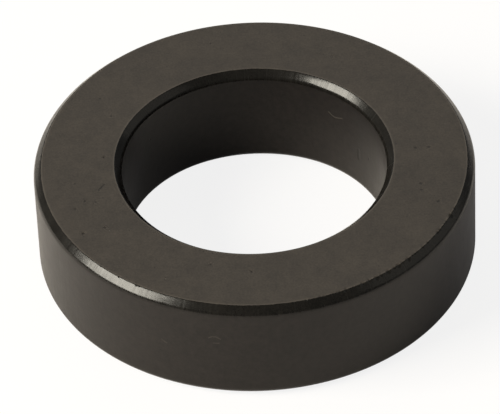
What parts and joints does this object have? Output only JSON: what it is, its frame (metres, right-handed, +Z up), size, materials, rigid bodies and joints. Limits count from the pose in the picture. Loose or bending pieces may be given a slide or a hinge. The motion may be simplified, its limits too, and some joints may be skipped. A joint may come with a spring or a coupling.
{
  "type": "ferrite toroid core",
  "caption": "Plain ring of dark grey sintered ferrite with a rectangular section and chamfered rims, to be wound with wire through its bore.",
  "frame": {"origin": "centre of the lower face, on the bore's axis", "axes": "+Z up along the bore's axis; the ring is the same all round, so +X and +Y are any two square directions in the lower face"},
  "size_m": [0.031, 0.031, 0.0081],
  "materials": {
    "ferrite": "satin"
  },
  "bodies": {
    "root": {"toroid_core": "ferrite"}
  },
  "joints": []
}
